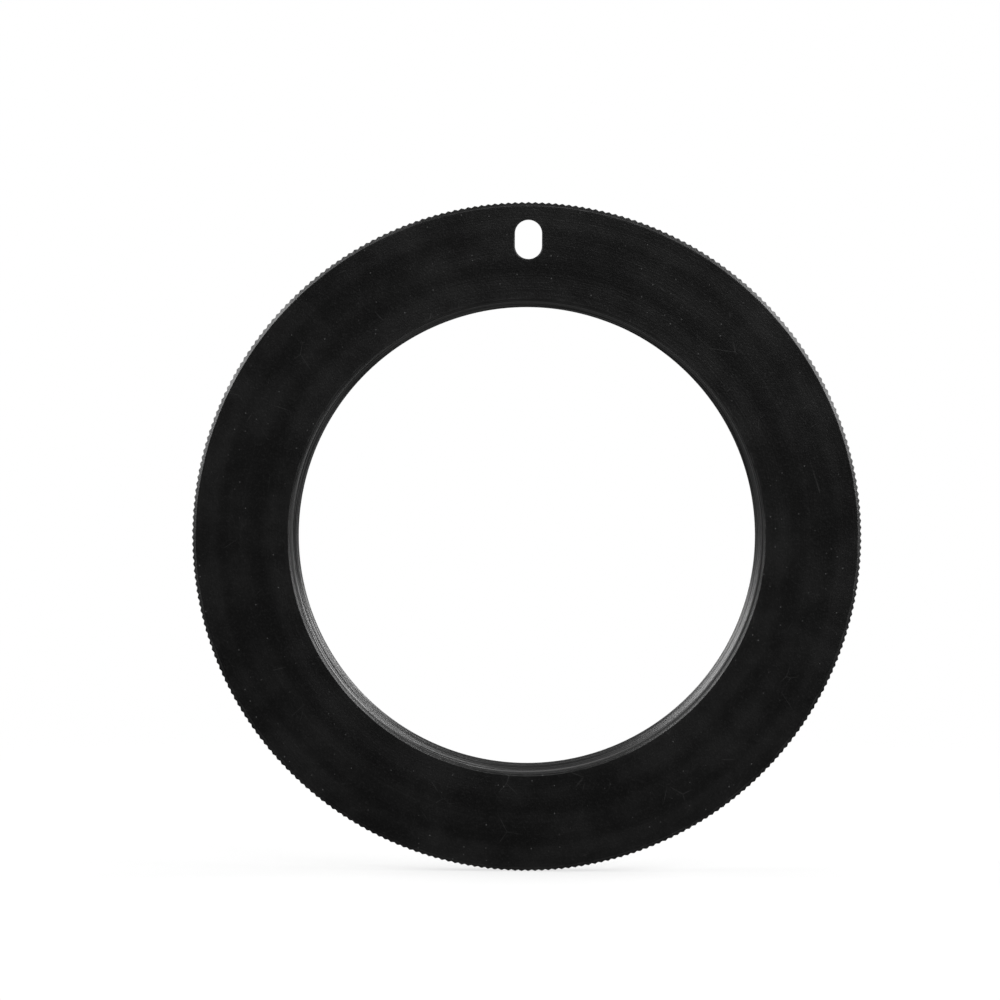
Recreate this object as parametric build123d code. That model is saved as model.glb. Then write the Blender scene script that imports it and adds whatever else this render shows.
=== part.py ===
from build123d import *
import math
import os

# A lens mount adapter ring, in millimetres. Its front takes a lens with an M42 x 1
# screw thread. Its back is a three-lug bayonet that turns into a camera body with a
# 44 mm throat, and it is drawn as the body holds it: bore level, lens side towards -Y,
# lock slot at the top, and the origin on the bore's axis in the plane of the camera's
# seat. Each piece is made as on a lathe, with the bore along +Z towards the lens and
# the lock slot out along +Y, and stood up when it is written.

# The screw thread for the lens: 60 degree metric form.
thread_major_diameter = 42.0
thread_pitch = 1.0

# The knurled rim.
rim_wall = 0.95  # outside the recess that takes the bayonet plate
knurl_pitch = 0.6
knurl_depth = 0.13
rim_chamfer = 0.35
rim_setback = 0.3  # how far the rim stands in front of the camera's seat

# The front ring's flat face.
face_thickness = 1.5
mouth_chamfer = 0.15
edge_break = 0.1

# The bayonet. What lies outside the camera's throat is placed from the throat's edge.
throat_diameter = 44.0
lug_reach = 1.5
lug_thickness = 1.35
lug_gap = 1.7  # between the lugs and the camera's seat
lug_centres = (270, 30, 150)
lug_spans = (60, 52, 52)  # one lug is wider, so the ring goes in only one way round
lug_lead_rise = 0.35
lug_lead_length = 1.6
lug_chamfer = 0.2
flange_width = 6.7
flange_thickness = 1.1
bore_rear_chamfer = 0.3

# The radial slot for the camera's lock pin.
slot_width = 2.4
slot_length = 3.5
slot_distance = 4.4  # from the throat's edge to the slot's centre

# The countersunk screws that hold the bayonet plate on the front ring.
screw_count = 5
screw_distance = 3.3  # from the throat's edge to the screws' axes
screw_diameter = 1.6
screw_head_diameter = 3.0
screw_head_land = 0.12
screw_head_sink = 0.05
screw_reach = 1.05  # how far a screw goes into the front ring
screw_tip_chamfer = 0.15
cross_width = 0.42
cross_length = 1.7
cross_depth = 0.55

# Clearances, each on the radius or on one side.
bore_clearance = 0.03
throat_clearance = 0.05
seat_clearance = 0.05
slot_clearance = 0.1
screw_hole_clearance = 0.1
tapped_hole_clearance = 0.02
tapped_hole_spare = 0.1

# Places along the bore, from the camera's seat towards the lens.
lug_front_z = -lug_gap
lug_rear_z = lug_front_z - lug_thickness
rim_z = rim_setback
joint_z = flange_thickness
face_z = joint_z + face_thickness

# Radii.
throat_radius = throat_diameter / 2
boss_radius = throat_radius - throat_clearance
lug_radius = throat_radius + lug_reach
screw_circle_radius = throat_radius + screw_distance
slot_radius = throat_radius + slot_distance
flange_radius = throat_radius + flange_width
recess_radius = flange_radius + seat_clearance
rim_radius = recess_radius + rim_wall
thread_height = thread_pitch * math.sqrt(3) / 2
thread_depth = 5 / 8 * thread_height
thread_major_radius = thread_major_diameter / 2
thread_minor_radius = thread_major_radius - thread_depth
front_bore_radius = thread_major_radius + bore_clearance
entry_radius = thread_major_radius - edge_break
screw_radius = screw_diameter / 2
screw_head_radius = screw_head_diameter / 2
screw_hole_radius = screw_radius + screw_hole_clearance
screw_pitch_angle = 360 / screw_count


def turned(*profile):
    """The solid that a lathe would leave: (radius, z) corners turned about Z."""
    return revolve(Plane.XZ * Polygon(*profile, align=None), Axis.Z)


def standing(shape, x, y, z):
    """A copy of a shape, moved to a place."""
    return Pos(x, y, z) * shape


def lock_slot(clearance):
    """A straight-sided slot with round ends, long along the radius, as a tool that cuts it."""
    outline = SlotOverall(slot_length + 2 * clearance, slot_width + 2 * clearance, rotation=90)
    return extrude(standing(outline, 0, slot_radius, -edge_break), face_z + 2 * edge_break)


def lock_slot_mouth():
    """The bevel round the slot's mouth in the front face, as a tool that cuts it."""
    widest = SlotOverall(slot_length + 2 * edge_break, slot_width + 2 * edge_break, rotation=90)
    return extrude(standing(widest, 0, slot_radius, face_z), -edge_break, taper=45)


def screw_places():
    """Angles of the screws, spaced evenly with the lock slot midway between two of them."""
    first = 90 + screw_pitch_angle / 2
    return [first + screw_pitch_angle * step for step in range(screw_count)]


def at_screw(shape, angle):
    """A copy of a shape, moved from the Z axis out to one screw's place."""
    return Rot(0, 0, angle) * standing(shape, screw_circle_radius, 0, 0)


def thread_groove(low, high):
    """The groove of the lens thread: its cross-section carried along a helix."""
    overcut = edge_break
    flank = math.tan(math.radians(30))
    root_half = thread_pitch / 16
    mouth_half = 3 / 8 * thread_pitch + overcut * flank
    section = Polygon(
        (thread_minor_radius - overcut, -mouth_half),
        (thread_major_radius, -root_half),
        (thread_major_radius, root_half),
        (thread_minor_radius - overcut, mouth_half),
        align=None,
    )
    path = Helix(thread_pitch, high - low, thread_minor_radius)
    return standing(sweep(Plane.XZ * section, path, is_frenet=True), 0, 0, low)


def knurled_blank():
    """A round bar with straight V teeth all round, as the knurling wheel leaves it."""
    teeth = round(2 * math.pi * rim_radius / knurl_pitch)
    corners = []
    for half_tooth in range(2 * teeth):
        angle = math.pi / 2 + math.pi * half_tooth / teeth
        radius = rim_radius - knurl_depth * (half_tooth % 2)
        corners.append((radius * math.cos(angle), radius * math.sin(angle)))
    return extrude(standing(Polygon(*corners, align=None), 0, 0, rim_z), face_z - rim_z)


def front_ring():
    """The knurled ring that faces the lens, recessed at the back for the bayonet plate."""
    turned_shape = turned(
        (front_bore_radius + mouth_chamfer, face_z),
        (front_bore_radius, face_z - mouth_chamfer),
        (front_bore_radius, joint_z),
        (recess_radius, joint_z),
        (recess_radius, rim_z + edge_break),
        (recess_radius + edge_break, rim_z),
        (rim_radius - rim_chamfer, rim_z),
        (rim_radius, rim_z + rim_chamfer),
        (rim_radius, face_z - rim_chamfer),
        (rim_radius - rim_chamfer, face_z),
    )
    ring = knurled_blank() & turned_shape
    ring -= lock_slot(0)
    ring -= lock_slot_mouth()
    hole_depth = screw_reach + tapped_hole_spare
    hole = Cylinder(
        screw_radius + tapped_hole_clearance,
        hole_depth,
        align=(Align.CENTER, Align.CENTER, Align.MIN),
    )
    for angle in screw_places():
        ring -= at_screw(standing(hole, 0, 0, joint_z), angle)
    return ring


def lug(centre, span):
    """One bayonet lug: a sector of a ring, with a ramp that leads it in behind the throat."""
    blank = turned(
        (boss_radius - edge_break, lug_rear_z),
        (lug_radius - lug_chamfer, lug_rear_z),
        (lug_radius, lug_rear_z + lug_chamfer),
        (lug_radius, lug_front_z),
        (boss_radius - edge_break, lug_front_z),
    )
    reach = 2 * lug_radius
    first = math.radians(centre - span / 2)
    last = math.radians(centre + span / 2)
    sector = Polygon(
        (0, 0),
        (reach * math.cos(first), reach * math.sin(first)),
        (reach * math.cos(math.radians(centre)), reach * math.sin(math.radians(centre))),
        (reach * math.cos(last), reach * math.sin(last)),
        align=None,
    )
    sector_bar = extrude(standing(sector, 0, 0, lug_rear_z), lug_thickness)
    ramp = Polygon(
        (0, lug_front_z - lug_lead_rise),
        (0, lug_front_z),
        (lug_lead_length, lug_front_z),
        align=None,
    )
    leading_edge = Plane((0, 0, 0), x_dir=(0, 1, 0), z_dir=(1, 0, 0))
    wedge = extrude(leading_edge * ramp, reach)
    return (blank & sector_bar) - Rot(0, 0, centre - span / 2) * wedge


def bayonet_plate():
    """The plate with the bayonet on its back and the lens thread in its bore."""
    plate = turned(
        (thread_minor_radius + bore_rear_chamfer, lug_rear_z),
        (boss_radius - edge_break, lug_rear_z),
        (boss_radius, lug_rear_z + edge_break),
        (boss_radius, 0),
        (flange_radius - edge_break, 0),
        (flange_radius, edge_break),
        (flange_radius, joint_z),
        (entry_radius, joint_z),
        (thread_minor_radius, joint_z - (entry_radius - thread_minor_radius)),
        (thread_minor_radius, lug_rear_z + bore_rear_chamfer),
    )
    for centre, span in zip(lug_centres, lug_spans):
        plate += lug(centre, span)
    plate -= lock_slot(slot_clearance)
    head_top = screw_head_sink + screw_head_land
    countersink = turned(
        (0, -edge_break),
        (screw_head_radius, -edge_break),
        (screw_head_radius, head_top),
        (screw_hole_radius, head_top + screw_head_radius - screw_hole_radius),
        (screw_hole_radius, joint_z + edge_break),
        (0, joint_z + edge_break),
    )
    for angle in screw_places():
        plate -= at_screw(countersink, angle)
    return plate - thread_groove(lug_rear_z - thread_pitch / 2, joint_z + thread_pitch / 2)


def plate_screw():
    """A countersunk screw on the Z axis, head down, with a cross recess in its head."""
    head_z = screw_head_sink
    cone_z = head_z + screw_head_land
    tip_z = joint_z + screw_reach
    body = turned(
        (0, head_z),
        (screw_head_radius, head_z),
        (screw_head_radius, cone_z),
        (screw_radius, cone_z + screw_head_radius - screw_radius),
        (screw_radius, tip_z - screw_tip_chamfer),
        (screw_radius - screw_tip_chamfer, tip_z),
        (0, tip_z),
    )
    wing = extrude(standing(Rectangle(cross_length, cross_width), 0, 0, head_z), cross_depth, taper=12)
    return body - wing - Rot(0, 0, 90) * wing


def write(piece, name):
    """Stands a piece up, so that +Z turns to -Y and +Y to +Z, and writes it as one node."""
    export_step(Rot(90, 0, 0) * piece, f"parts/{name}.step")


os.makedirs("parts", exist_ok=True)
write(front_ring(), "front_ring")
write(bayonet_plate(), "bayonet_plate")
for number, angle in enumerate(screw_places(), start=1):
    write(at_screw(plate_screw(), angle), f"plate_screw_{number}")
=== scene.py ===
import bmesh
import bpy
import numpy as np
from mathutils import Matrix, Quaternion, Vector


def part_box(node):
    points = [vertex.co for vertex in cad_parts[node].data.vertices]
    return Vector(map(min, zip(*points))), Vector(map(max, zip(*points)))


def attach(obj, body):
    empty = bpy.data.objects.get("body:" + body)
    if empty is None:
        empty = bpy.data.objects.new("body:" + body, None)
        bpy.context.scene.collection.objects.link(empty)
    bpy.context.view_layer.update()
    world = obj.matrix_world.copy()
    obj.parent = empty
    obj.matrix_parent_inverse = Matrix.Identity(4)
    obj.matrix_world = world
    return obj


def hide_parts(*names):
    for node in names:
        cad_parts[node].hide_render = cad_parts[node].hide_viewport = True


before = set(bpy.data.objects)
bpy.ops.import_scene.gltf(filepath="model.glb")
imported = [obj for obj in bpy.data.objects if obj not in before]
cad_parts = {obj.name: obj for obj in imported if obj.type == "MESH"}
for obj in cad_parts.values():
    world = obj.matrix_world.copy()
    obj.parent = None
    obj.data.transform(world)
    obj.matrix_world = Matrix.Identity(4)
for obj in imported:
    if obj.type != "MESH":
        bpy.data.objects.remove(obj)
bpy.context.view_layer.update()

# Front ring
# The knurled ring that faces the lens. It is turned from aluminium bar, straight-knurled with a
# wheel, milled through for the camera's lock pin, bead-blasted and anodised black. Five screws
# hold it from behind, in blind tapped holes. Sizes here and below are in millimetres.
mm = 0.001
ring_low, ring_high = (np.array(corner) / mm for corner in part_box("front_ring"))
face_y, rim_back_y = ring_low[1], ring_high[1]
joint_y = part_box("bayonet_plate")[0].y / mm
rim_radius = ring_high[2]
rim_chamfer = 0.35
knurl_pitch, knurl_depth = 0.6, 0.13
bore_radius = 21.03
mouth_chamfer = 0.15
recess_radius = 28.75
edge_break = 0.1
slot_distance, slot_end_radius, slot_straight = 26.4, 1.2, 0.55
screw_distance = 25.3
screw_angles = np.radians((126 + 72 * np.arange(5)) % 360)
tapped_radius, tapped_depth = 0.82, 1.15
top = np.pi / 2


def corners(*places):
    """A profile from its corners in turn, as an array of rows, then radius and y, then columns. A
    value is one number, or one number for each column."""
    columns = max(np.size(value) for place in places for value in place)
    return np.array([[np.broadcast_to(value, columns) for value in place] for place in places])


def eased(profile, ease=0.03):
    """A profile with its corners rounded, and the wear at each of its points. A corner becomes the
    start, middle and end of a parabola between its two sides, with one more point beyond each
    end to keep the flats flat. Only a corner that stands out of the metal, a left turn, wears."""
    at = profile[1:-1]
    back, ahead = profile[:-2] - at, profile[2:] - at
    back_length = np.maximum(np.linalg.norm(back, axis=1, keepdims=True), 1e-9)
    ahead_length = np.maximum(np.linalg.norm(ahead, axis=1, keepdims=True), 1e-9)
    reach = np.minimum(ease, 0.2 * np.minimum(back_length, ahead_length))
    start, end = at + back / back_length * reach, at + ahead / ahead_length * reach
    middle = (start + 2 * at + end) / 4
    rounded = np.stack((2 * start - at, start, middle, end, 2 * end - at), axis=1)
    left_turn = ahead[:, 0] * back[:, 1] - ahead[:, 1] * back[:, 0] > 1e-6
    wear_and_highlight = np.array((0, 0.5, 1, 0.5, 0))[:, None] * left_turn[:, None]
    columns = profile.shape[2]
    points = np.concatenate((profile[:1], rounded.reshape(-1, 2, columns), profile[-1:]))
    return points, np.pad(wear_and_highlight.reshape(-1, columns), ((1, 1), (0, 0)))


def turned(angles, profile):
    """Points of a surface turned about Y: x = radius * cos(angle), z = radius * sin(angle)."""
    radius, y, angle = np.broadcast_arrays(profile[:, 0], profile[:, 1], angles)
    return np.stack((radius * np.cos(angle), y, radius * np.sin(angle)), axis=-1)


def patch(points, wear_and_highlight=0.0, keep=True):
    """A grid of points, the edge wear and painted highlight at each of them, and whether each of
    the grid's cells is kept.
    """
    rows, columns = points.shape[:2]
    wear_and_highlight = np.broadcast_to(wear_and_highlight, (rows, columns))
    return points, wear_and_highlight, np.array(np.broadcast_to(keep, (rows - 1, columns - 1)))


def turned_patch(angles, profile, ease=0.03):
    """A turned surface whose profile has its corners rounded."""
    rounded, wear_and_highlight = eased(profile, ease)
    return patch(turned(angles, rounded), wear_and_highlight)


def span(values, low, high):
    """The first and last places in a list whose values lie from low to high."""
    inside = np.flatnonzero((values > low - 1e-6) & (values < high + 1e-6))
    return inside[0], inside[-1]


def opened(surface, rows, columns):
    """Leaves a block of cells out of a patch, and gives the loop of points round the gap."""
    points, _, keep = surface
    (r0, r1), (c0, c1) = rows, columns
    keep[r0:r1, c0:c1] = False
    sides = points[r0, c0:c1], points[r0:r1, c1], points[r1, c1:c0:-1], points[r1:r0:-1, c0]
    return np.concatenate(sides + (points[r0, c0:c0 + 1],))


def hole_patch(loop, end_loop, angle, distance, profile, straight=0.0):
    """The wall of a hole parallel to Y, from the loop round its opening to the loop round its other
    end. Seen from the hole's centre, each wall point is in line with a point of the loop. In a
    direction (across, along) the wall of a round-ended slot is radius / |across| away on its
    straight sides, and straight * |along| + sqrt(radius^2 - (straight * across)^2) on its ends."""
    outwards = np.array((np.cos(angle), 0, np.sin(angle)))
    sideways = np.array((-np.sin(angle), 0, np.cos(angle)))
    offset = loop - distance * outwards
    across, along = offset @ sideways, offset @ outwards
    length = np.hypot(across, along)
    across, along = across / length, along / length
    rounded, wear_and_highlight = eased(profile)
    radius = rounded[:, 0]
    side = radius / np.maximum(np.abs(across), 1e-9)
    end = straight * np.abs(along) + np.sqrt(np.maximum(radius**2 - (straight * across) ** 2, 0))
    reach = np.where(side * np.abs(along) <= straight, side, end)
    direction = across[:, None] * sideways + along[:, None] * outwards
    wall = distance * outwards + reach[..., None] * direction
    wall[..., 1] = rounded[:, 1]
    ends = loop[None], end_loop[None]
    if end_loop is loop:
        return patch(np.concatenate((ends[0], wall)), np.pad(wear_and_highlight, ((1, 0), (0, 0))))
    return patch(np.concatenate((ends[0], wall, ends[1])), np.pad(wear_and_highlight, ((1, 1), (0, 0))))


def stitched(name, patches):
    """A closed piece from patches that meet along shared points. Each kept cell is a face, points
    of no face are left out, points within 0.2 microns become one, and the wear, with the painted
    highlight at the bore's mouth, is stored on the points as rubbed_edges_and_highlight."""
    counts = np.cumsum([0] + [points[..., 0].size for points, _, _ in patches])
    faces = []
    for (points, _, keep), first in zip(patches, counts):
        index = first + np.arange(points[..., 0].size).reshape(points.shape[:2])
        cells = index[:-1, :-1], index[:-1, 1:], index[1:, 1:], index[1:, :-1]
        faces.append(np.stack(cells, axis=-1)[keep])
    used, faces = np.unique(np.concatenate(faces), return_inverse=True)
    places = np.concatenate([points.reshape(-1, 3) for points, _, _ in patches])[used] * mm
    wear_and_highlight = np.concatenate([wear_and_highlight.ravel() for _, wear_and_highlight, _ in patches])[used].astype(np.float32)
    mesh = bpy.data.meshes.new(name)
    mesh.from_pydata(places.tolist(), [], faces.reshape(-1, 4).tolist())
    mesh.attributes.new("rubbed_edges_and_highlight", "FLOAT", "POINT").data.foreach_set("value", wear_and_highlight)
    joined = bmesh.new()
    joined.from_mesh(mesh)
    bmesh.ops.remove_doubles(joined, verts=joined.verts, dist=2e-7)
    bmesh.ops.dissolve_degenerate(joined, dist=1e-8, edges=joined.edges)
    bmesh.ops.recalc_face_normals(joined, faces=joined.faces)
    joined.to_mesh(mesh)
    joined.free()
    mesh.shade_smooth()
    mesh.set_sharp_from_angle(angle=np.radians(35))
    piece = bpy.data.objects.new(name, mesh)
    bpy.context.scene.collection.objects.link(piece)
    return piece


tooth_count = round(2 * np.pi * rim_radius / knurl_pitch)
coarse_per_tooth, fine_per_coarse = 2, 4
seam = -coarse_per_tooth * (tooth_count // 4)
coarse_places = np.arange(seam, seam + coarse_per_tooth * tooth_count + 1)
fine_places = np.arange(fine_per_coarse * coarse_places[0], fine_per_coarse * coarse_places[-1] + 1)
tooth_angle = 2 * np.pi / tooth_count
ring_angles = top + coarse_places * tooth_angle / coarse_per_tooth
# A tooth is a triangle wave with its crest and root rounded: the arcsine of a cosine cut to 97%.
# Its columns crowd towards the crest and the root.
tooth_turns = fine_places / (coarse_per_tooth * fine_per_coarse)
tooth_turns = tooth_turns - 0.05 * np.sin(4 * np.pi * tooth_turns)
knurl_angles = top + tooth_turns * tooth_angle
tooth_height = 0.5 + 0.5 * np.arcsin(0.97 * np.cos(2 * np.pi * tooth_turns)) / np.arcsin(0.97)
knurl_radius = rim_radius - knurl_depth * (1 - tooth_height)

# The land is the part of the face and of the recess's floor that the slot and the holes go through.
land_radii = np.linspace(24.25, 28.55, 13)
slot_opening = 3.6 * tooth_angle
knurl_start = rim_radius - 0.5
strip_end = knurl_start - 0.1
chamfer_start = rim_radius - rim_chamfer
face = patch(turned(ring_angles, corners(*((radius, face_y) for radius in land_radii))))
floor = patch(turned(ring_angles, corners(*((radius, joint_y) for radius in land_radii))))
bore = turned_patch(ring_angles, corners(
    (land_radii[0], joint_y),
    (bore_radius, joint_y),
    (bore_radius, face_y + mouth_chamfer),
    (bore_radius + mouth_chamfer, face_y),
    (land_radii[0], face_y),
))
back = turned_patch(ring_angles, corners(
    (strip_end, rim_back_y),
    (recess_radius + edge_break, rim_back_y),
    (recess_radius, rim_back_y - edge_break),
    (recess_radius, joint_y),
    (land_radii[-1], joint_y),
))
strip = patch(turned(ring_angles, corners((land_radii[-1], face_y), (strip_end, face_y))))
knurl = turned_patch(knurl_angles, corners(
    (knurl_start, face_y),
    (chamfer_start, face_y),
    (knurl_radius, face_y + knurl_radius - chamfer_start),
    (knurl_radius, rim_back_y - knurl_radius + chamfer_start),
    (chamfer_start, rim_back_y),
    (knurl_start, rim_back_y),
))
# Between the knurl's fine columns and the coarse ones, each coarse point meets a fan of fine ones.
fan = (fine_places - fine_places[0] + fine_per_coarse // 2 - 1) // fine_per_coarse
front_fan = patch(np.stack((strip[0][-1][fan], knurl[0][0])))
back_fan = patch(np.stack((back[0][0][fan], knurl[0][-1])))

slot_columns = span(ring_angles, top - slot_opening, top + slot_opening)
slot_rows = 0, len(land_radii) - 1
slot_wall = hole_patch(
    opened(floor, slot_rows, slot_columns),
    opened(face, slot_rows, slot_columns),
    top,
    slot_distance,
    corners(
        (slot_end_radius + 0.15, joint_y),
        (slot_end_radius, joint_y),
        (slot_end_radius, face_y + edge_break),
        (slot_end_radius + edge_break, face_y),
        (slot_end_radius + edge_break + 0.15, face_y),
    ),
    slot_straight,
)
tapped_holes = []
tapped_opening = 0.046
for angle in screw_angles:
    loop = opened(
        floor,
        span(land_radii, screw_distance - 1.1, screw_distance + 1.15),
        span(ring_angles, angle - tapped_opening, angle + tapped_opening),
    )
    tapped_holes.append(hole_patch(loop, loop, angle, screw_distance, corners(
        (tapped_radius + 0.12, joint_y),
        (tapped_radius, joint_y),
        (tapped_radius, joint_y - tapped_depth),
        (0, joint_y - tapped_depth),
    )))
front_ring = stitched(
    "knurled_front_ring",
    [face, floor, bore, back, strip, knurl, front_fan, back_fan, slot_wall, *tapped_holes],
)


def placed(tree, kind, sockets=None, **settings):
    """A new shader node with its settings made and its input sockets filled. A socket is given a
    plain value, or the output of another node, which is linked to it."""
    made = tree.nodes.new(kind)
    for name, value in settings.items():
        setattr(made, name, value)
    for name, value in (sockets or {}).items():
        if isinstance(value, bpy.types.NodeSocket):
            tree.links.new(value, made.inputs[name])
        else:
            made.inputs[name].default_value = value
    return made


def calc(tree, operation, *values):
    """One step of arithmetic on values or outputs of nodes."""
    return placed(tree, "ShaderNodeMath", dict(enumerate(values)), operation=operation).outputs[0]


def ramp(tree, value, low, high, to_low=0.0, to_high=1.0):
    """A value mapped smoothly from the range low to high onto the range to_low to to_high."""
    sockets = {0: value, 1: low, 2: high, 3: to_low, 4: to_high}
    made = placed(tree, "ShaderNodeMapRange", sockets, interpolation_type="SMOOTHSTEP")
    return made.outputs[0]


def effect(name, inputs, outputs):
    """An empty node group for a surface effect: its tree, and its inputs by name. Place is where
    on the object, in Object coordinates; an output is made for each name in outputs."""
    tree = bpy.data.node_groups.new(name, "ShaderNodeTree")
    tree.interface.new_socket("Place", in_out="INPUT", socket_type="NodeSocketVector")
    for socket, value in inputs.items():
        made = tree.interface.new_socket(socket, in_out="INPUT", socket_type="NodeSocketFloat")
        made.default_value = value
    for socket in outputs:
        tree.interface.new_socket(socket, in_out="OUTPUT", socket_type="NodeSocketFloat")
    tree.nodes.new("NodeGroupOutput")
    return tree, tree.nodes.new("NodeGroupInput").outputs


def cells_of(tree, place, per_mm):
    """A place scaled so that it grows by one for each cell, with so many cells per millimetre."""
    sockets = {0: place, 3: calc(tree, "MULTIPLY", per_mm, 1000.0)}
    return placed(tree, "ShaderNodeVectorMath", sockets, operation="SCALE").outputs[0]


def give(tree, **results):
    """Links results to the outputs of an effect."""
    for name, result in results.items():
        tree.links.new(result, tree.nodes["Group Output"].inputs[name])


def from_axis(tree, place):
    """The distance from the bore's axis and the place along it, in millimetres: the length of
    (x, z), and y."""
    split = placed(tree, "ShaderNodeSeparateXYZ", {0: place}).outputs
    square = calc(tree, "ADD", calc(tree, "MULTIPLY", split[0], split[0]),
                  calc(tree, "MULTIPLY", split[2], split[2]))
    radius = calc(tree, "MULTIPLY", calc(tree, "SQRT", square), 1000.0)
    return radius, calc(tree, "MULTIPLY", split[1], 1000.0)


# Turning marks: rings that a lathe tool leaves. Noise that reads only the distance from the axis
# and the place along it is the same all the way round.
turning_marks, given = effect("turning_marks", {"Spacing": 0.1}, ["Height", "Tone"])
radius, along = from_axis(turning_marks, given["Place"])
across_marks = placed(turning_marks, "ShaderNodeCombineXYZ", {
    0: calc(turning_marks, "DIVIDE", radius, given["Spacing"]),
    1: calc(turning_marks, "DIVIDE", along, given["Spacing"]),
}).outputs[0]
marks = placed(turning_marks, "ShaderNodeTexNoise", {
    "Vector": across_marks, "Scale": 1.0, "Detail": 2.0, "Roughness": 0.6,
}, noise_dimensions="2D").outputs[0]
slow_marks = placed(turning_marks, "ShaderNodeTexNoise", {
    "Vector": across_marks, "Scale": 0.08, "Detail": 1.0,
}, noise_dimensions="2D").outputs[0]
# Over the face the tone also comes and goes in broad zones from the bore outwards: the cosine of
# the distance past the first zone, a full turn for each zone.
first_zone, zone_width, zone_strength = 21.35, 3.8, 0.1
past_first_zone = calc(turning_marks, "SUBTRACT", radius, first_zone)
zone_turn = calc(turning_marks, "MULTIPLY", past_first_zone, 2 * np.pi / zone_width)
zone_wave = calc(turning_marks, "COSINE", zone_turn)
zones = calc(turning_marks, "MULTIPLY_ADD", zone_wave, zone_strength, slow_marks)
give(turning_marks, Height=marks, Tone=zones)

# Grain: the fine pits that bead blasting leaves, and slow patches where it bit more or less.
grain, given = effect("grain", {"Grains per mm": 6.0}, ["Height", "Patches"])
grain_place = cells_of(grain, given["Place"], given["Grains per mm"])
pits = placed(grain, "ShaderNodeTexNoise", {
    "Vector": grain_place, "Scale": 1.0, "Detail": 3.0, "Roughness": 0.65,
}).outputs[0]
blasted_patches = placed(grain, "ShaderNodeTexNoise", {
    "Vector": given["Place"], "Scale": 180.0, "Detail": 4.0, "Roughness": 0.6,
}).outputs[0]
give(grain, Height=pits, Patches=blasted_patches)

# Dust: a few pale specks. Space is cut into cells, a share of the cells hold a speck, and a speck
# is what lies close enough to its cell's centre.
dust, given = effect("dust", {"Cells per mm": 0.6, "Share": 0.2}, ["Specks"])
dust_place = cells_of(dust, given["Place"], given["Cells per mm"])
cells = placed(dust, "ShaderNodeTexVoronoi", {"Vector": dust_place, "Scale": 1.0})
chance = placed(dust, "ShaderNodeSeparateColor", {0: cells.outputs["Color"]}).outputs
least_speck, speck_range = 0.05, 0.1
speck_size = calc(dust, "MULTIPLY_ADD", chance[1], speck_range, least_speck)
near = calc(dust, "LESS_THAN", cells.outputs["Distance"], speck_size)
chosen = calc(dust, "LESS_THAN", chance[0], given["Share"])
give(dust, Specks=calc(dust, "MULTIPLY", calc(dust, "MULTIPLY", near, chosen), chance[2]))

# Scratches: hairlines where things have slid over the surface. They lie along some of the walls
# between the cells that space is cut into.
scratches, given = effect("scratches", {"Cells per mm": 0.2}, ["Hairlines"])
scratch_place = cells_of(scratches, given["Place"], given["Cells per mm"])
walls = placed(scratches, "ShaderNodeTexVoronoi", {
    "Vector": scratch_place, "Scale": 1.0,
}, feature="DISTANCE_TO_EDGE").outputs["Distance"]
some = placed(scratches, "ShaderNodeTexNoise", {"Vector": scratch_place, "Scale": 1.3}).outputs[0]
hairline = ramp(scratches, walls, 0.003, 0.008, 1.0, 0.0)
give(scratches, Hairlines=calc(scratches, "MULTIPLY", hairline, ramp(scratches, some, 0.58, 0.68)))

# Edge wear: where the edges have rubbed, in broken patches.
edge_rub, given = effect("edge_rub", {"Wear": 0.0}, ["Rubbed"])
broken = placed(edge_rub, "ShaderNodeTexNoise", {
    "Vector": given["Place"], "Scale": 900.0, "Detail": 3.0,
}).outputs[0]
rubbed = calc(edge_rub, "MULTIPLY", ramp(edge_rub, broken, 0.42, 0.62), given["Wear"])
give(edge_rub, Rubbed=rubbed)


def finish_of(name):
    """A new material whose tree holds nothing but the Object coordinates, and those coordinates."""
    material = bpy.data.materials.new(name)
    material.use_nodes = True
    tree = material.node_tree
    tree.nodes.clear()
    return material, tree, placed(tree, "ShaderNodeTexCoord").outputs["Object"]


def with_effect(tree, group, sockets):
    """The outputs of an effect placed in a material."""
    return placed(tree, "ShaderNodeGroup", sockets, node_tree=group).outputs


def blend(tree, share, first, second):
    """The first colour turning to the second as the share goes from 0 to 1. A mix node has inputs
    for each kind of data, and those for colours are numbers 6 and 7."""
    sockets = {0: share, 6: first, 7: second}
    return placed(tree, "ShaderNodeMix", sockets, data_type="RGBA").outputs[2]


def grey(value):
    """A neutral colour."""
    return value, value, value, 1.0


def surfaced(tree, sockets, height, depth):
    """Ends a material: a Principled shader with these sockets, its bumps from a height of up to so
    many millimetres."""
    bump = placed(tree, "ShaderNodeBump", {"Height": height, "Distance": depth * mm, "Strength": 1.0})
    shader = placed(tree, "ShaderNodeBsdfPrincipled", {**sockets, "Normal": bump.outputs[0]})
    placed(tree, "ShaderNodeOutputMaterial", {"Surface": shader.outputs[0]})


black, tree, place = finish_of("black_anodised_aluminium")
marks = with_effect(tree, turning_marks, {"Place": place, "Spacing": 0.16})
pitting = with_effect(tree, grain, {"Place": place, "Grains per mm": 6.0})
specks = with_effect(tree, dust, {"Place": place, "Cells per mm": 2.0, "Share": 0.2})["Specks"]
hairlines = with_effect(tree, scratches, {"Place": place, "Cells per mm": 0.25})["Hairlines"]
wear_and_highlight = placed(tree, "ShaderNodeAttribute", attribute_name="rubbed_edges_and_highlight").outputs["Fac"]
rubbed = with_effect(tree, edge_rub, {"Place": place, "Wear": wear_and_highlight})["Rubbed"]
tone = calc(tree, "ADD", calc(tree, "MULTIPLY", marks["Tone"], 0.4),
            calc(tree, "MULTIPLY", pitting["Patches"], 0.6))
dye = blend(tree, ramp(tree, tone, 0.35, 0.65), grey(0.0005), grey(0.009))
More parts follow.
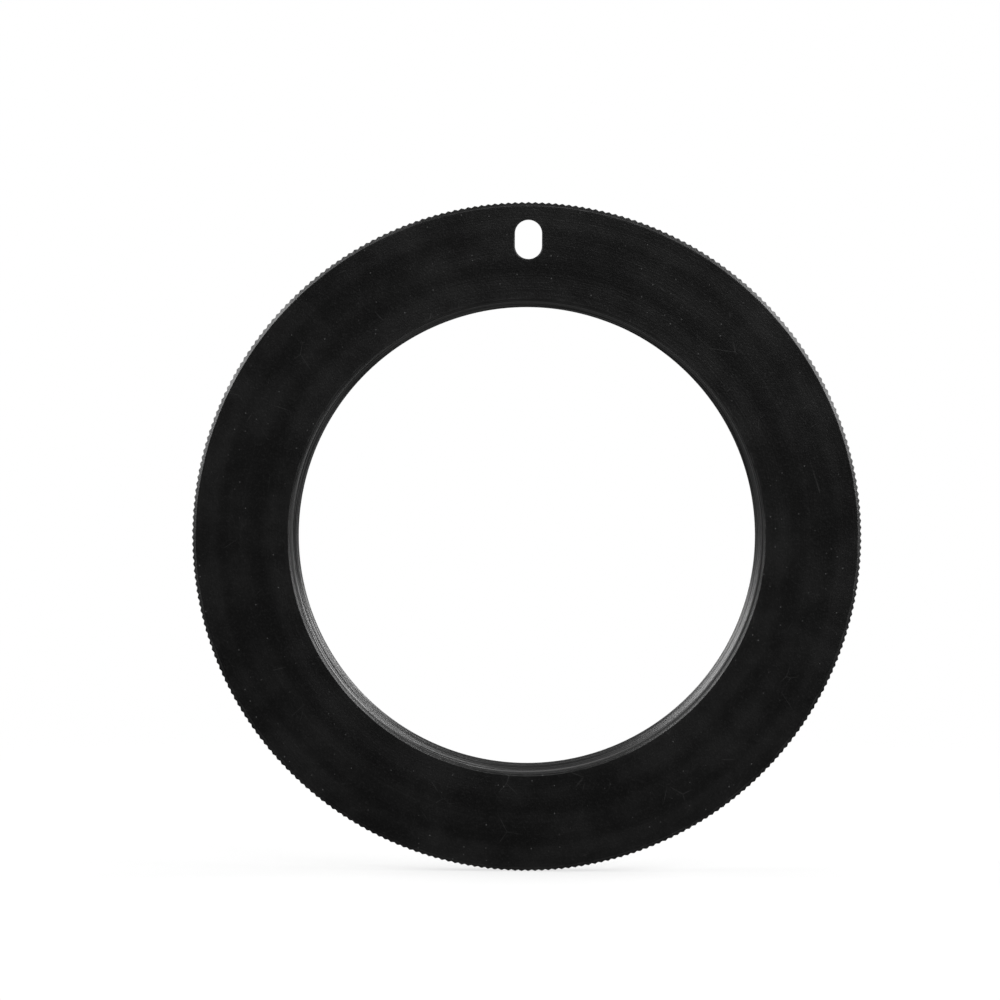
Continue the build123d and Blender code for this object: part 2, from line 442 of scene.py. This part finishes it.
dye = blend(tree, ramp(tree, pitting["Height"], 0.5, 0.75, 0.0, 0.5), dye, grey(0.02))
dye = blend(tree, calc(tree, "MULTIPLY", rubbed, 0.5), dye, grey(0.06))
dye = blend(tree, calc(tree, "MULTIPLY", hairlines, 0.4), dye, grey(0.06))
dye = blend(tree, calc(tree, "MULTIPLY", specks, 0.4), dye, grey(0.22))
height = calc(tree, "ADD", calc(tree, "MULTIPLY", pitting["Height"], 0.7),
              calc(tree, "MULTIPLY", marks["Height"], 0.3))
surfaced(tree, {
    "Base Color": dye,
    "Roughness": ramp(tree, tone, 0.3, 0.7, 0.48, 0.4),
    "Specular IOR Level": ramp(tree, tone, 0.3, 0.7, 0.25, 0.5),
}, height, 0.045)
front_ring.data.materials.append(black)
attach(front_ring, "root")
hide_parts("front_ring")

# Bayonet plate
# The plate behind the ring: turned and milled brass, chrome-plated. Its flange seats on the
# camera, its boss and three lugs turn into the camera's throat, and the bore has the lens's
# M42 x 1 thread and is blackened. It is screwed to the ring through five countersunk holes.
flange_radius, rear_y, _ = np.array(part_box("bayonet_plate")[1]) / mm
thread_major, thread_pitch = 21.0, 1.0
thread_minor = thread_major - 5 / 8 * np.sqrt(3) / 2 * thread_pitch
groove_y = rear_y + thread_pitch / 2
entry_radius = thread_major - edge_break
rear_chamfer = 0.3
boss_radius, lug_radius = 21.95, 23.5
lug_front_y, lug_chamfer, lug_corner = 1.7, 0.2, 0.15
ramp_rise, ramp_length = 0.35, 1.6
lugs = np.radians(((240, 300), (4, 56), (124, 176)))
clearance_radius, head_radius = 0.9, 1.5
head_top_y = -0.17
plate_slot_radius = slot_end_radius + 0.1


def lug_ends(first, last):
    """Angles of the columns that a lug's ends and ramp need: just outside each end, on it, round
    its corner, and where the ramp runs out."""
    steps = np.array((-2e-5, 0, 0.02, 0.06, lug_corner, 0.3)) / lug_radius
    return np.concatenate((first + steps, [first + ramp_length / boss_radius], last - steps))


plate_angles = np.unique(np.concatenate(
    [np.radians(0.75) * np.arange(481)] + [lug_ends(first, last) for first, last in lugs]
))
from_first, from_last = (plate_angles - lugs[:, :1]), (lugs[:, 1:] - plate_angles)
on_lug = ((from_first > -1e-9) & (from_last > -1e-9)).any(axis=0)
past_first = np.where(from_first > -1e-9, from_first, 9).min(axis=0)
past_last = np.where(from_last > -1e-9, from_last, 9).min(axis=0)
from_end = np.minimum(past_first, past_last) * lug_radius
corner_drop = lug_corner - np.sqrt(lug_corner**2 - np.maximum(lug_corner - from_end, 0) ** 2)
outer_radius = np.where(on_lug, lug_radius - corner_drop, boss_radius)
outer_chamfer = np.where(on_lug, lug_chamfer, edge_break)


def lug_front(radius):
    """The height of a lug's front face, which rises towards its leading end along the ramp."""
    up_ramp = np.clip(1 - radius * np.sin(np.minimum(past_first, top)) / ramp_length, 0, 1)
    return lug_front_y + ramp_rise * up_ramp * on_lug


# The cone that leads a lens's thread in has a rounded mouth.
entry_steps = np.array((0.0, 0.012, 0.05, 1.0))
entry_radii = entry_radius + np.array((0.07, 0.006, -0.05, -1.0))


def threaded_bore(angle, y):
    """The bore's radius. A groove passes y = groove_y - pitch * (angle / full turn + any whole
    number), is open 3/8 of a pitch either side at the crests and 1/16 at its root, and meets a
    45 degree cone at each end of the bore."""
    turns = (groove_y - y) / thread_pitch - angle / (2 * np.pi)
    from_groove = np.abs(turns - np.round(turns))
    thread = np.interp(from_groove, (1 / 16, 3 / 8), (thread_major, thread_minor))
    entry = np.interp(y - joint_y, entry_steps, entry_radii)
    exit_cone = thread_minor + rear_chamfer - (rear_y - y)
    return np.maximum(thread, np.maximum(entry, exit_cone))


seat_radii = np.linspace(28.42, 23.45, 15)
seat = patch(turned(plate_angles, corners(*((radius, 0.0) for radius in seat_radii))))
joint = patch(turned(plate_angles, corners(*((radius, joint_y) for radius in seat_radii))))
# The mouth's rows are given set values in the wear, which the blacking shows as a pale grey band
# round the mouth: a painted highlight, partly rub wear from a lens's thread.
bore_mouth = patch(turned(plate_angles, corners(
    *((threaded_bore(plate_angles, joint_y + step), joint_y + step) for step in entry_steps[2::-1]),
    (threaded_bore(plate_angles, joint_y) + 0.1, joint_y),
    (seat_radii[-1], joint_y),
)), np.array((0, 1, 0.7, 0, 0))[:, None])
flange = turned_patch(plate_angles, corners(
    (seat_radii[0], joint_y),
    (flange_radius, joint_y),
    (flange_radius, -edge_break),
    (flange_radius - edge_break, 0.0),
    (seat_radii[0], 0.0),
))
boss_and_lugs = turned_patch(plate_angles, corners(
    (seat_radii[-1], 0.0),
    (boss_radius, 0.0),
    (boss_radius, lug_front(boss_radius)),
    (outer_radius, lug_front(outer_radius)),
    (outer_radius, rear_y - outer_chamfer),
    (outer_radius - outer_chamfer, rear_y),
    (threaded_bore(plate_angles, rear_y), rear_y),
))
# The thread's rows run along the helix, close together at its crests and roots to round them.
in_one_pitch = np.array((0, 0.048, 0.077, 0.22, 0.355, 0.395))
in_one_pitch = np.concatenate((in_one_pitch, [0.5], 1 - in_one_pitch[:0:-1]))
helix_rows = (np.arange(-1, 5)[:, None] + in_one_pitch).reshape(-1, 1)
thread_y = groove_y - thread_pitch * (helix_rows + plate_angles / (2 * np.pi))
thread_y = np.clip(thread_y, joint_y + entry_steps[2], rear_y)
thread_profile = np.stack((threaded_bore(plate_angles, thread_y), thread_y), axis=1)
thread = patch(turned(plate_angles, thread_profile))

plate_holes = []
opening, opening_angle = 1.9, np.radians(4.5)
for angle in screw_angles:
    rows = span(-seat_radii, -screw_distance - opening, -screw_distance + opening)
    columns = span(plate_angles, angle - opening_angle, angle + opening_angle)
    plate_holes.append(hole_patch(
        opened(seat, rows, columns), opened(joint, rows, columns), angle, screw_distance, corners(
            (head_radius + 0.12, 0.0),
            (head_radius, 0.0),
            (head_radius, head_top_y),
            (clearance_radius, head_top_y - head_radius + clearance_radius),
            (clearance_radius, joint_y),
            (clearance_radius + 0.12, joint_y),
        )))
columns = span(plate_angles, top - opening_angle, top + opening_angle)
rows = 0, len(seat_radii) - 1
plate_holes.append(hole_patch(
    opened(seat, rows, columns), opened(joint, rows, columns), top, slot_distance, corners(
        (plate_slot_radius + 0.12, 0.0),
        (plate_slot_radius, 0.0),
        (plate_slot_radius, joint_y),
        (plate_slot_radius + 0.12, joint_y),
    ), slot_straight))
bayonet_plate = stitched(
    "threaded_bayonet_plate",
    [seat, joint, bore_mouth, flange, boss_and_lugs, thread, *plate_holes],
)

chrome, tree, place = finish_of("chromed_brass")
marks = with_effect(tree, turning_marks, {"Place": place, "Spacing": 0.06})
pitting = with_effect(tree, grain, {"Place": place, "Grains per mm": 9.0})
wear_and_highlight = placed(tree, "ShaderNodeAttribute", attribute_name="rubbed_edges_and_highlight").outputs["Fac"]
rubbed = with_effect(tree, edge_rub, {"Place": place, "Wear": wear_and_highlight})["Rubbed"]
radius, _ = from_axis(tree, place)
blacking_radius, blacking_unevenness = 21.02, 0.08
black_edge = calc(tree, "MULTIPLY_ADD", pitting["Patches"], blacking_unevenness, blacking_radius)
blackened = ramp(tree, calc(tree, "SUBTRACT", black_edge, radius), -0.02, 0.02)
plating = blend(tree, ramp(tree, marks["Tone"], 0.3, 0.7), grey(0.62), grey(0.7))
bare_brass = 0.62, 0.52, 0.34, 1.0
plating = blend(tree, calc(tree, "MULTIPLY", rubbed, 0.6), plating, bare_brass)
bore_marks = with_effect(tree, turning_marks, {"Place": place, "Spacing": 0.1})["Height"]
scuffed = calc(tree, "ADD", calc(tree, "MULTIPLY", bore_marks, 0.85),
               calc(tree, "MULTIPLY", pitting["Height"], 0.15))
hairlines = with_effect(tree, scratches, {"Place": place, "Cells per mm": 0.4})["Hairlines"]
blacking = blend(tree, ramp(tree, scuffed, 0.4, 0.6), grey(0.004), grey(0.03))
# Painted highlight: where the wear is set, mostly at the bore's mouth, the blacking turns pale grey
# with no broken patches, partly standing for rub wear too.
blacking = blend(tree, calc(tree, "MULTIPLY", wear_and_highlight, 0.8), blacking, grey(0.16))
height = calc(tree, "ADD", calc(tree, "MULTIPLY", marks["Height"], 0.04),
              calc(tree, "MULTIPLY", calc(tree, "MULTIPLY", blackened, scuffed), 0.6))
height = calc(tree, "SUBTRACT", height, calc(tree, "MULTIPLY", hairlines, 0.05))
surfaced(tree, {
    "Base Color": blend(tree, blackened, plating, blacking),
    "Metallic": calc(tree, "SUBTRACT", 1.0, blackened),
    "Roughness": ramp(tree, blackened, 0.0, 1.0, 0.24, 0.38),
    "Specular IOR Level": ramp(tree, scuffed, 0.38, 0.62, 0.25, 0.95),
}, height, 0.05)
bayonet_plate.data.materials.append(chrome)
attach(bayonet_plate, "root")
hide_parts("bayonet_plate")

# Plate screws
# Five countersunk M1.6 screws hold the plate on the ring: cold-headed and thread-rolled steel,
# nickel-plated, with a cross recess. Their heads lie just under the camera's seat.
screw_head_y, screw_tip_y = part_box("plate_screw_1")[1].y / mm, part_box("plate_screw_1")[0].y / mm
screw_radius, tip_chamfer = 0.8, 0.15
screw_pitch, screw_thread_depth = 0.35, 0.17
cross_half_width, cross_half_length, cross_depth = 0.21, 0.85, 0.55
cross_taper = np.tan(np.radians(12))
in_one_quarter = np.array((0, 6, 11.5, 13.88, 17, 25, 35, 45, 55, 65, 73, 76.12, 78.5, 84))
round_screw = np.radians(np.append((90 * np.arange(4)[:, None] + in_one_quarter).ravel(), 360))


def cross_reach(growth):
    """The distance from the screw's axis to the edge of its cross recess, grown or shrunk: out
    along an arm to its end, or between two arms to the nearer side of one."""
    sideways = np.sort(np.abs((np.cos(round_screw), np.sin(round_screw))), axis=0)
    to_side = (cross_half_width + growth) / np.maximum(sideways[0], 1e-9)
    return np.minimum(to_side, (cross_half_length + growth) / sideways[1])


cone_y = head_top_y - head_radius + screw_radius
shank_y = np.linspace(screw_tip_y + tip_chamfer, cone_y, 27)[1:-1]
ramped_in = np.minimum(1, np.minimum(shank_y - shank_y[0], shank_y[-1] - shank_y) / screw_pitch)
groove = 0.5 - 0.5 * np.cos(2 * np.pi * shank_y[:, None] / screw_pitch + round_screw)
shank_radius = screw_radius - screw_thread_depth * groove * ramped_in[:, None]
shank = np.stack((shank_radius, np.broadcast_to(shank_y[:, None], shank_radius.shape)), axis=1)
screw_tip, tip_wear = eased(corners(
    (0, screw_tip_y),
    (screw_radius - tip_chamfer, screw_tip_y),
    (screw_radius, screw_tip_y + tip_chamfer),
    (shank_radius[0], shank_y[0]),
))
recess_floor_y = screw_head_y - cross_depth
screw_head, head_wear = eased(corners(
    (shank_radius[-1], shank_y[-1]),
    (screw_radius, cone_y),
    (head_radius, head_top_y),
    (head_radius, screw_head_y),
    (cross_half_length + 0.12, screw_head_y),
    (cross_reach(0.03), screw_head_y),
    (cross_reach(0.0), screw_head_y - 0.03),
    (cross_reach(-cross_depth * cross_taper), recess_floor_y),
    (0, recess_floor_y),
))
screw_profile = np.concatenate((screw_tip, shank[1:-1], screw_head))
screw_wear = np.concatenate((tip_wear, np.zeros(shank[1:-1, 0].shape), head_wear))

nickel, tree, place = finish_of("nickel_plated_steel")
pitting = with_effect(tree, grain, {"Place": place, "Grains per mm": 12.0})
wear_and_highlight = placed(tree, "ShaderNodeAttribute", attribute_name="rubbed_edges_and_highlight").outputs["Fac"]
rubbed = with_effect(tree, edge_rub, {"Place": place, "Wear": wear_and_highlight})["Rubbed"]
_, along = from_axis(tree, place)
# Painted shade: deeper than 0.04 mm below the head's face, in the cross recess and down the head's
# side, the nickel turns near black and duller.
shade_below_head_face = ramp(tree, along, screw_head_y - 0.04, screw_head_y - 0.35)
dull_nickel, bright_nickel = (0.56, 0.53, 0.48, 1.0), (0.66, 0.63, 0.58, 1.0)
plating = blend(tree, ramp(tree, pitting["Patches"], 0.3, 0.7), dull_nickel, bright_nickel)
plating = blend(tree, calc(tree, "MULTIPLY", rubbed, 0.5), plating, grey(0.8))
surfaced(tree, {
    "Base Color": blend(tree, calc(tree, "MULTIPLY", shade_below_head_face, 0.8), plating, grey(0.05)),
    "Metallic": 1.0,
    "Roughness": ramp(tree, shade_below_head_face, 0.0, 1.0, 0.26, 0.55),
}, pitting["Height"], 0.004)
for number, angle in enumerate(screw_angles, start=1):
    outwards = np.array((np.cos(angle), 0, np.sin(angle)))
    points = turned(round_screw + angle, screw_profile) + screw_distance * outwards
    screw = stitched(f"countersunk_screw_{number}", [patch(points, screw_wear)])
    screw.data.materials.append(nickel)
    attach(screw, "root")
    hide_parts(f"plate_screw_{number}")

# Floor and light
# A pale studio floor under the ring's lowest tooth, which fades into a white surround. A large
# soft panel is high on each side, as in a light tent, and a small one is above the camera. The
# floor is left out of the ring's reflections.
floor_radius = 200.0
floor_profile = corners((0.0, -rim_radius), (floor_radius, -rim_radius))
disc = turned(np.radians(np.arange(0, 361, 5)), floor_profile)
floor_disc = stitched("studio_floor", [patch(disc[..., (0, 2, 1)])])
paper, tree, place = finish_of("pale_floor")
out = placed(tree, "ShaderNodeVectorMath", {0: place}, operation="LENGTH").outputs["Value"]
card = placed(tree, "ShaderNodeBsdfDiffuse", {"Color": grey(0.6)}).outputs[0]
clear = placed(tree, "ShaderNodeBsdfTransparent").outputs[0]
fading = ramp(tree, out, 0.02, 0.16, 0.72, 1.0)
faded = placed(tree, "ShaderNodeMixShader", {0: fading, 1: card, 2: clear})
placed(tree, "ShaderNodeOutputMaterial", {"Surface": faded.outputs[0]})
floor_disc.data.materials.append(paper)
floor_disc.visible_diffuse = floor_disc.visible_glossy = False

world = bpy.data.worlds.new("white_surround")
world.use_nodes = True
tree = world.node_tree
tree.nodes.clear()
seen = placed(tree, "ShaderNodeBackground", {"Color": grey(1.0), "Strength": 1.0}).outputs[0]
direction = placed(tree, "ShaderNodeTexCoord").outputs["Generated"]
_, backwards, upwards = placed(tree, "ShaderNodeSeparateXYZ", {0: direction}).outputs
in_front = ramp(tree, upwards, -0.7, -0.1, 0.36, 0.015)
behind = ramp(tree, upwards, -0.5, 0.2, 0.1, 0.2)
glow = ramp(tree, backwards, -0.2, 0.7, in_front, behind)
ambient = placed(tree, "ShaderNodeBackground", {"Color": grey(1.0), "Strength": glow}).outputs[0]
is_seen = placed(tree, "ShaderNodeLightPath").outputs["Is Camera Ray"]
mixed = placed(tree, "ShaderNodeMixShader", {0: is_seen, 1: ambient, 2: seen}).outputs[0]
placed(tree, "ShaderNodeOutputWorld", {"Surface": mixed})
bpy.context.scene.world = world
bpy.context.scene.view_settings.view_transform = "Standard"

for name, spot, width, watts in (
    ("left_panel", (-0.62, 0.04, 0.38), 0.6, 9.0),
    ("right_panel", (0.62, 0.04, 0.36), 0.6, 10.5),
    ("front_panel", (0.18, -0.42, 0.38), 0.25, 1.45),
):
    panel = bpy.data.lights.new(name, "AREA")
    panel.shape = "RECTANGLE"
    panel.size, panel.size_y = width, 0.8 * width
    panel.energy = watts
    lamp = bpy.data.objects.new(name, panel)
    lamp.location = spot
    lamp.rotation_mode = "QUATERNION"
    lamp.rotation_quaternion = (-lamp.location).to_track_quat("-Z", "Y")
    bpy.context.scene.collection.objects.link(lamp)

# Camera
# It looks at the ring's face from just above the bore's axis, 0.4 m away.
lens = bpy.data.cameras.new("camera")
lens.sensor_width = 36.0
lens.lens = 162.6
lens.shift_x, lens.shift_y = -0.0268, 0.0376
camera = bpy.data.objects.new("camera", lens)
aim = np.array((0.0, face_y, 0.0))
stand = aim + np.array((-0.7, -400.0, 15.6))
camera.location = stand * mm
camera.rotation_mode = "QUATERNION"
look = Vector(aim - stand)
camera.rotation_quaternion = look.to_track_quat("-Z", "Y") @ Quaternion((0, 0, 1), np.radians(0.32))
bpy.context.scene.collection.objects.link(camera)
bpy.context.scene.camera = camera
